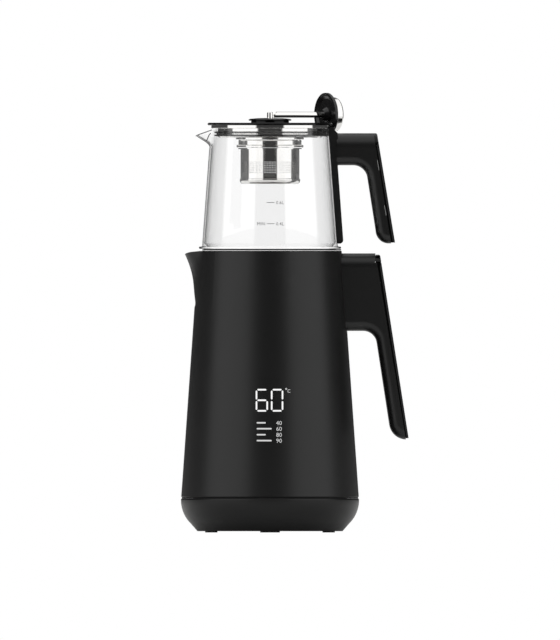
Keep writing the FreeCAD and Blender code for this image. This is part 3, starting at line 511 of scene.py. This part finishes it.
# Ends of each segment, as shares of the figure's width and height from its lower left corner.
SEGMENTS = {
    "top": ((0.16, 1.0), (0.84, 1.0)),
    "middle": ((0.16, 0.5), (0.84, 0.5)),
    "foot": ((0.16, 0.0), (0.84, 0.0)),
    "left_high": ((0.0, 0.92), (0.0, 0.58)), "left_low": ((0.0, 0.42), (0.0, 0.08)),
    "right_high": ((1.0, 0.92), (1.0, 0.58)), "right_low": ((1.0, 0.42), (1.0, 0.08)),
}
FIGURES = {
    "0": ("top", "foot", "left_high", "left_low", "right_high", "right_low"),
    "6": ("top", "middle", "foot", "left_high", "left_low", "right_low"),
}


def figure_outlines(figure, left, right, low, high, thick):
    """Seven-segment figure between two columns and two rows of the picture."""
    low_left = Vector((picture_x(left), picture_z(low)))
    wide, tall = picture_x(right) - low_left.x, picture_z(high) - low_left.y
    outlines = []
    for name in FIGURES[figure]:
        start, end = [low_left + Vector((x * wide, z * tall)) for x, z in SEGMENTS[name]]
        outlines += bar(start, end, thick)
    return outlines


def lettering(text, left, middle, high, place):
    """Points and faces of plain printed characters, laid on a surface."""
    curve = bpy.data.curves.new("lettering", "FONT")
    curve.body = text
    curve.size = high / LETTER_HIGH
    curve.resolution_u = LETTER_CURVE_STEPS
    plate = bpy.data.objects.new("lettering", curve)
    bpy.context.scene.collection.objects.link(plate)
    flat = bpy.data.meshes.new_from_object(plate)
    bpy.data.objects.remove(plate)
    points = [place(left + v.co.x, middle - high / 2 + v.co.y) for v in flat.vertices]
    return points, [tuple(f.vertices) for f in flat.polygons]


def laid_object(name, place, outlines, texts=()):
    """One mesh of flat shapes and printed characters, laid on a surface."""
    points, faces = [], []
    for outline in outlines:
        faces.append(tuple(range(len(points), len(points) + len(outline))))
        points += [place(x, z) for x, z in outline]
    for text, left, middle, high in texts:
        more, cells = lettering(text, left, middle, high, place)
        faces += [tuple(i + len(points) for i in cell) for cell in cells]
        points += more
    return mesh_object(name, points, faces, smooth=False)


def led_light(name, colour):
    """Lit segment: flat even light that nothing around it changes."""
    made = material(name)
    light = add(made.node_tree, "Emission", {"Color": linear(colour), "Strength": 1.0}, {})
    return finish_with(made, light)


BIG_TOP_ROW = 389.7
BIG_FOOT_ROW = 410.8
BIG_STROKE = 1.6 * PIXEL
# Each big figure, with its left and its right column of the picture.
BIG_COLUMNS = (("6", 256.5, 267.2), ("0", 271.7, 282.5))
big_bars = []
for figure, left, right in BIG_COLUMNS:
    big_bars += figure_outlines(figure, left, right, BIG_FOOT_ROW, BIG_TOP_ROW, BIG_STROKE)
big_figures = laid_object("display_big_figures", wall_point, big_bars)
# The big figures are at full brightness, pure white to the eye.
big_figures.data.materials.append(led_light("white_led_light", WHITE))
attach(big_figures, "kettle")

SMALL_HIGH = 4.3 * PIXEL
SMALL_STROKE = 1.5 * PIXEL
BAR_COLUMN = 257.4
SHORT_BAR_END = 265.0
LONG_BAR_END = 271.0
FIGURES_COLUMN = 276.1
# Each row of the display: its row of the picture, its temperature, and the column where its bar ends.
DISPLAY_ROWS = (
    (422.8, "40", SHORT_BAR_END), (428.7, "60", LONG_BAR_END),
    (434.7, "80", SHORT_BAR_END), (440.6, "90", LONG_BAR_END),
)
# The letter of the temperature scale stands right below its small degree ring.
SCALE_LETTER_HIGH = 3.4 * PIXEL
SCALE_LETTER_COLUMN = 287.2
SCALE_LETTER_ROW = 390.9
DEGREE_COLUMN = 286.2
DEGREE_ROW = 388.9
DEGREE_INNER_R = 0.45 * PIXEL
DEGREE_OUTER_R = 0.95 * PIXEL
DEGREE_PARTS = 16
small_shapes = []
small_texts = [("C", picture_x(SCALE_LETTER_COLUMN), picture_z(SCALE_LETTER_ROW), SCALE_LETTER_HIGH)]
for row, figures, bar_end in DISPLAY_ROWS:
    small_texts.append((figures, picture_x(FIGURES_COLUMN), picture_z(row), SMALL_HIGH))
    bar_z = picture_z(row)
    small_shapes += bar((picture_x(BAR_COLUMN), bar_z), (picture_x(bar_end), bar_z), SMALL_STROKE)
degree_x, degree_z = picture_x(DEGREE_COLUMN), picture_z(DEGREE_ROW)
for i in range(DEGREE_PARTS):
    here = 2 * math.pi * i / DEGREE_PARTS
    after = 2 * math.pi * (i + 1) / DEGREE_PARTS
    corners = (
        (DEGREE_INNER_R, here), (DEGREE_OUTER_R, here),
        (DEGREE_OUTER_R, after), (DEGREE_INNER_R, after),
    )
    small_shapes.append([(degree_x + r * math.cos(a), degree_z + r * math.sin(a)) for r, a in corners])
small_figures = laid_object("display_small_figures", wall_point, small_shapes, small_texts)
# The small figures are lit less and look light grey.
small_figures.data.materials.append(led_light("dim_white_led_light", "#d6d6d6"))
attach(small_figures, "kettle")

# Glass pot
# The body is mouth-blown borosilicate with a wall of two millimetres, a foot flange and a drawn lip.
# Its lip is fire-polished, and its level marks are printed on the outside in dark enamel.
# A ring of black silicone under the floor keeps it from sliding in the kettle's mouth.
GLASS_IOR = 1.47
LIP_FOOT_X = -0.0545
LIP_SIDE_SOFT = 0.001
LIP_LOW_Z = 0.352
LIP_LOW_SOFT = 0.002
FOOT_TOP_Z = 0.2616
FOOT_SOFT = 0.0002
EDGE_TILT_FROM = 0.58
EDGE_TILT_FULL = 0.9
PAINTED_EDGE_SHADE_MOST = 0.95


def blown_glass():
    """Clear thin sheet that mirrors more at a slant. Where lip and foot are thick, painted shade darkens
    the glass seen at a slant.
    """
    made = material("clear_blown_borosilicate_glass")
    tree = made.node_tree
    side = add(tree, "NewGeometry", {}, {})
    same_both_ways = add(tree, "MapRange", {"To Min": GLASS_IOR, "To Max": 1 / GLASS_IOR}, {
        "Value": side.outputs["Backfacing"],
    })
    sheen = add(tree, "Fresnel", {}, {"IOR": same_both_ways.outputs[0]})
    through = add(tree, "BsdfTransparent", {"Color": linear(WHITE)}, {})
    mirror = add(tree, "BsdfAnisotropic", {"Color": linear(WHITE), "Roughness": 0.0}, {})
    sheet = add(tree, "MixShader", {}, {
        0: sheen.outputs[0], 1: through.outputs[0], 2: mirror.outputs[0],
    })
    where = add(tree, "TexCoord", {}, {})
    spot = add(tree, "SeparateXYZ", {}, {0: where.outputs["Object"]})
    at_lip_x = add(tree, "MapRange", {"From Min": LIP_FOOT_X, "From Max": LIP_FOOT_X - LIP_SIDE_SOFT}, {
        "Value": spot.outputs["X"],
    })
    at_lip_z = add(tree, "MapRange", {"From Min": LIP_LOW_Z, "From Max": LIP_LOW_Z + LIP_LOW_SOFT}, {
        "Value": spot.outputs["Z"],
    })
    at_lip = add(tree, "Math", {"operation": "MULTIPLY"}, {
        0: at_lip_x.outputs[0], 1: at_lip_z.outputs[0],
    })
    at_foot = add(tree, "MapRange", {"From Min": FOOT_TOP_Z + FOOT_SOFT, "From Max": FOOT_TOP_Z}, {
        "Value": spot.outputs["Z"],
    })
    thick = add(tree, "Math", {"operation": "MAXIMUM"}, {0: at_lip.outputs[0], 1: at_foot.outputs[0]})
    # Painted shade: at a slant the thick lip and foot turn toward a dark grey, standing in for the dark
    # that thick glass bends in.
    tilt = add(tree, "LayerWeight", {}, {})
    tilted = add(tree, "MapRange", {
        "From Min": EDGE_TILT_FROM, "From Max": EDGE_TILT_FULL, "To Max": PAINTED_EDGE_SHADE_MOST,
    }, {"Value": tilt.outputs["Facing"]})
    painted_edge_shade_share = add(tree, "Math", {"operation": "MULTIPLY"}, {
        0: thick.outputs[0], 1: tilted.outputs[0],
    })
    dark = add(tree, "BsdfTransparent", {"Color": linear("#202020")}, {})
    body = add(tree, "MixShader", {}, {
        0: painted_edge_shade_share.outputs[0], 1: sheet.outputs[0], 2: dark.outputs[0],
    })
    return finish_with(made, body)


dress(["pot_glass"], blown_glass())
# Black silicone is dull, with a faint soft sheen.
black_silicone = even_finish("black_silicone", "#0b0b0b", roughness=0.45, depth=0.02)
dress(["pot_foot_ring"], black_silicone)

LIP_EDGE_R = 0.0004
LIP_EDGE_X = -0.0535
LIP_EDGE_Z = 0.3555
LIP_SHARP = math.radians(38)
LIP_MERGE = 0.00002
# The fold of the lip, from its foot to the rim, as columns and rows of the picture.
LIP_FOLD = ((206.6, 140.8), (207.5, 138.8), (208.4, 136.6), (209.4, 134.6), (210.6, 133.2))
BESIDE_POT = 0.1


def line_through(curve, places):
    """Adds one line through places to a curve."""
    line = curve.splines.new("POLY")
    line.points.add(len(places) - 1)
    for corner, place in zip(line.points, places):
        corner.co = (*place, 1.0)


# The lip's sharp edges are found on the glass itself. The dark lines drawn along them are painted shade.
lip_line = bpy.data.curves.new("lip_edge_line", "CURVE")
lip_line.dimensions = "3D"
lip_line.bevel_depth = LIP_EDGE_R
lip_line.use_fill_caps = True
glass = nodes["pot_glass"]
outline = bmesh.new()
outline.from_mesh(glass.data)
bmesh.ops.remove_doubles(outline, verts=outline.verts, dist=LIP_MERGE)
for edge in outline.edges:
    middle = (edge.verts[0].co + edge.verts[1].co) / 2
    on_lip = middle.x <= LIP_EDGE_X and middle.z >= LIP_EDGE_Z
    if on_lip and edge.is_manifold and edge.calc_face_angle() > LIP_SHARP:
        line_through(lip_line, [corner.co for corner in edge.verts])
outline.free()
# The fold shows on both sides of the lip, where a look from that side meets the glass.
bpy.context.view_layer.update()
for side in (-1, 1):
    fold = []
    for column, row in LIP_FOLD:
        beside = Vector((picture_x(column), side * BESIDE_POT, picture_z(row)))
        fold.append(glass.ray_cast(beside, Vector((0, -side, 0)))[1])
    line_through(lip_line, fold)
lip_edge = bpy.data.objects.new("lip_edge_line", lip_line)
bpy.context.scene.collection.objects.link(lip_edge)
# Painted shade: the lines are nearly black, standing in for how dark the thick lip's glass looks when
# seen along its edge.
painted_lip_edge_shade = even_finish("painted_lip_edge_shade_lines", "#141414", roughness=0.2, depth=0.0)
lip_edge.data.materials.append(painted_lip_edge_shade)
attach(lip_edge, "pot")

POT_LOW_R = 0.0621
POT_LOW_Z = 0.262
POT_HIGH_R = 0.0549
POT_HIGH_Z = 0.361
MARK_HIGH = 3.4 * PIXEL
MARK_STROKE = 0.6 * PIXEL
MARK_COLUMN = 266.9
MARK_END = 274.1
LITRES_COLUMN = 276.0
LEAST_COLUMN = 256.8
LEAST_ROW = 223.7
# Each level's row of the picture and its volume.
LEVELS = ((202.5, "0.6L"), (LEAST_ROW, "0.4L"))


def pot_point(x, z):
    """Point on the front of the pot wall, a hair in front of it."""
    share_up = (z - POT_LOW_Z) / (POT_HIGH_Z - POT_LOW_Z)
    radius = POT_LOW_R + share_up * (POT_HIGH_R - POT_LOW_R) + PRINT_PROUD
    return (x, -math.sqrt(radius * radius - x * x), z)


marks = []
mark_texts = [("MIN", picture_x(LEAST_COLUMN), picture_z(LEAST_ROW), MARK_HIGH)]
for row, litres in LEVELS:
    mark_z = picture_z(row)
    marks += bar((picture_x(MARK_COLUMN), mark_z), (picture_x(MARK_END), mark_z), MARK_STROKE)
    mark_texts.append((litres, picture_x(LITRES_COLUMN), mark_z, MARK_HIGH))
level_marks = laid_object("level_marks", pot_point, marks, mark_texts)
# Thin print lets light through from behind, so the enamel looks dark grey.
print_enamel = even_finish("dark_print_enamel", "#5c5c5c", roughness=0.5)
level_marks.data.materials.append(print_enamel)
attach(level_marks, "pot")

# Pot handle
# The strap is bonded to the glass and the grip is screwed to it, both in satin black ABS.
# A gloss strip closes the back, as on the kettle's handle. Two light lines in its seam are painted
# glints.
GLINT_SIDE_Y = -0.01306
GLINT_WIDE = 0.42 * PIXEL
# Each painted glint line runs between two points of the picture, given as column and row.
UPPER_GLINT = ((377.3, 160.2), (379.0, 170.0))
LOWER_GLINT = ((384.4, 205.6), (386.2, 215.4))
dress(["pot_strap", "pot_handle"], handle_abs)
dress(["pot_handle_cover"], gloss_abs)
dress(["pot_handle_screws"], plated_steel)


def handle_side_point(x, z):
    """Point on the front side of the pot handle, a hair in front of it."""
    return (x, GLINT_SIDE_Y, z)


glint_lines = []
for glint in (UPPER_GLINT, LOWER_GLINT):
    top, foot = [(picture_x(column), picture_z(row)) for column, row in glint]
    glint_lines += bar(top, foot, GLINT_WIDE)
seam_glint_lines = laid_object("seam_glint_lines", handle_side_point, glint_lines)
# Painted glints: a flat light grey shows as two fine light lines on the black seam.
painted_seam_glint = even_finish("painted_seam_glint_grey", "#8e8e8e", roughness=0.4, depth=0.0)
seam_glint_lines.data.materials.append(painted_seam_glint)
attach(seam_glint_lines, "pot")

# Lid
# A thin gloss ABS plate lies on a polished steel band, over a steel plug that sits in the pot's neck.
# The plug is sealed by two soft silicone lips, and the collar in the middle carries the rod's bush.
LIP_TIP_R = 0.0501
# The marks of the polishing wheel are drawn coarser than real ones, so that they show.
POLISHING_MARK = 0.002

# Gloss ABS of the lid mirrors the tent, but weakly, so the plate stays black.
lid_abs = even_finish("gloss_black_lid_abs", "#040404", roughness=0.16, depth=0.01, ior=1.3)
# Polished steel mirrors the tent sharply, in white and dark bands.
polished_steel = metal("polished_stainless_steel", "#f0efed", roughness=0.04, grain=POLISHING_MARK)


def lip_silicone():
    """Clear grey silicone that bends what is behind it. The tips of its two thin lips are painted nearly
    black, as painted shade.
    """
    made = material("smoke_grey_moulded_silicone")
    tree = made.node_tree
    where = add(tree, "TexCoord", {}, {})
    level = add(tree, "VectorMath", {"operation": "MULTIPLY", 1: (1.0, 1.0, 0.0)}, {
        0: where.outputs["Object"],
    })
    from_axis = add(tree, "VectorMath", {"operation": "LENGTH"}, {0: level.outputs[0]})
    at_tip = add(tree, "Math", {"operation": "GREATER_THAN", 1: LIP_TIP_R}, {
        0: from_axis.outputs["Value"],
    })
    soft = add(tree, "BsdfPrincipled", {
        "Base Color": linear("#d8d8d8"), "Roughness": 0.02, "IOR": 1.41, "Transmission Weight": 1.0,
    }, {})
    # Painted shade: the lip tips get a flat near-black instead of the clear silicone.
    painted_tip_shade = add(tree, "BsdfPrincipled", {
        "Base Color": linear("#060606"), "Roughness": 0.6, "IOR": 1.41,
    }, {})
    lipped = add(tree, "MixShader", {}, {
        0: at_tip.outputs[0], 1: soft.outputs[0], 2: painted_tip_shade.outputs[0],
    })
    return finish_with(made, lipped)


dress(["lid_plate", "lid_collar"], lid_abs)
dress(["lid_band", "lid_plug"], polished_steel)
dress(["lid_gasket"], lip_silicone())
dress(["guide_bush"], plain_abs)

# Tea basket and lift rod
# The basket and its cover are deep-drawn stainless steel, polished outside, and the rod is turned.
# The basket's wall is punched with rows of fine holes between its solid cup and its rolled rim.
BASKET_R = 0.0269
BASKET_WALL = 0.0007
BASKET_INNER_R = BASKET_R - BASKET_WALL
BASKET_TOP = 0.3519
BASKET_RIM_R = 0.0290
BASKET_RIM_THICK = 0.0011
CUP_R = 0.0276
CUP_LOW = 0.3189
CUP_HIGH = 0.3233
CUP_STEP = 0.0005
HOLES_LOW = 0.3285
HOLES_HIGH = 0.3397
HOLE_COLUMNS = 112
HOLE_ROWS = 7
HOLE_R = 0.00042
HOLE_SIDES = 8
HOLE_FIRST_CORNER = -112.5
# How far the points of the cup's rounded corner lie in from its side and up from its foot.
CUP_CORNER = ((0.0034, 0.0), (0.0018, 0.0004), (0.0006, 0.0014), (0.0, 0.003))
INSIDE_CORNER = ((0.0, 0.0036), (0.0012, 0.0016), (0.0029, BASKET_WALL))


def punched(points, faces, radius):
    """Adds a ring of square cells, each with an eight-sided hole. Returns the holes' point numbers."""
    rise = (HOLES_HIGH - HOLES_LOW) / HOLE_ROWS
    corners = len(points)
    for row in range(HOLE_ROWS + 1):
        for i in range(HOLE_COLUMNS):
            angle = 2 * math.pi * i / HOLE_COLUMNS
            points.append((radius * math.cos(angle), radius * math.sin(angle), HOLES_LOW + row * rise))
    holes = []
    for row in range(HOLE_ROWS):
        for i in range(HOLE_COLUMNS):
            low = corners + row * HOLE_COLUMNS
            after = (i + 1) % HOLE_COLUMNS
            square = (low + i, low + after, low + HOLE_COLUMNS + after, low + HOLE_COLUMNS + i)
            hole = list(range(len(points), len(points) + HOLE_SIDES))
            for k in range(HOLE_SIDES):
                turn = math.radians(HOLE_FIRST_CORNER + 360 / HOLE_SIDES * k)
                angle = 2 * math.pi * (i + 0.5) / HOLE_COLUMNS + HOLE_R * math.cos(turn) / BASKET_R
                z = HOLES_LOW + (row + 0.5) * rise + HOLE_R * math.sin(turn)
                points.append((radius * math.cos(angle), radius * math.sin(angle), z))
            for k in range(len(square)):
                next_corner = square[(k + 1) % len(square)]
                faces.append((square[k], next_corner, hole[2 * k + 1], hole[2 * k]))
                faces.append((next_corner, hole[(2 * k + 2) % HOLE_SIDES], hole[2 * k + 1]))
            holes.append(hole)
    return holes


points, faces = [], []
cup_outside = [(CUP_R - inward, CUP_LOW + up) for inward, up in CUP_CORNER]
cup_inside = [(BASKET_INNER_R - inward, CUP_LOW + up) for inward, up in INSIDE_CORNER]
turned(points, faces, [
    (0.0, CUP_LOW), *cup_outside, (CUP_R, CUP_HIGH),
    (BASKET_R, CUP_HIGH + CUP_STEP), (BASKET_R, HOLES_LOW),
], HOLE_COLUMNS)
turned(points, faces, [
    (BASKET_INNER_R, HOLES_LOW), *cup_inside, (0.0, CUP_LOW + BASKET_WALL),
], HOLE_COLUMNS)
turned(points, faces, [
    (BASKET_R, HOLES_HIGH), (BASKET_R, BASKET_TOP - BASKET_RIM_THICK),
    (BASKET_RIM_R, BASKET_TOP - BASKET_RIM_THICK), (BASKET_RIM_R, BASKET_TOP),
    (BASKET_INNER_R, BASKET_TOP), (BASKET_INNER_R, HOLES_HIGH),
], HOLE_COLUMNS)
outside_holes = punched(points, faces, BASKET_R)
inside_holes = punched(points, faces, BASKET_INNER_R)
for outer, inner in zip(outside_holes, inside_holes):
    for k in range(HOLE_SIDES):
        beside = (k + 1) % HOLE_SIDES
        faces.append((outer[k], outer[beside], inner[beside], inner[k]))
perforated_basket = mesh_object("perforated_basket", points, faces)
perforated_basket.data.materials.append(polished_steel)
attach(perforated_basket, "basket")
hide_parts("tea_basket")
dress(["infuser_cover", "infuser_rod", "hinge_pin"], polished_steel)

# Folding knob
# A stepped ABS disc is screwed to the end of the steel arm and capped with a spun steel cup.
# The arm turns on a pin through the fork of the lift rod.

# Gloss ABS of the knob has a slightly softer shine than the lid, so its steps show.
knob_abs = even_finish("gloss_black_knob_abs", "#0d0d0d", roughness=0.22, depth=0.01)
dress(["knob_disc"], knob_abs)
dress(["knob_rod", "knob_cap"], polished_steel)
dress(["knob_screw"], plated_steel)
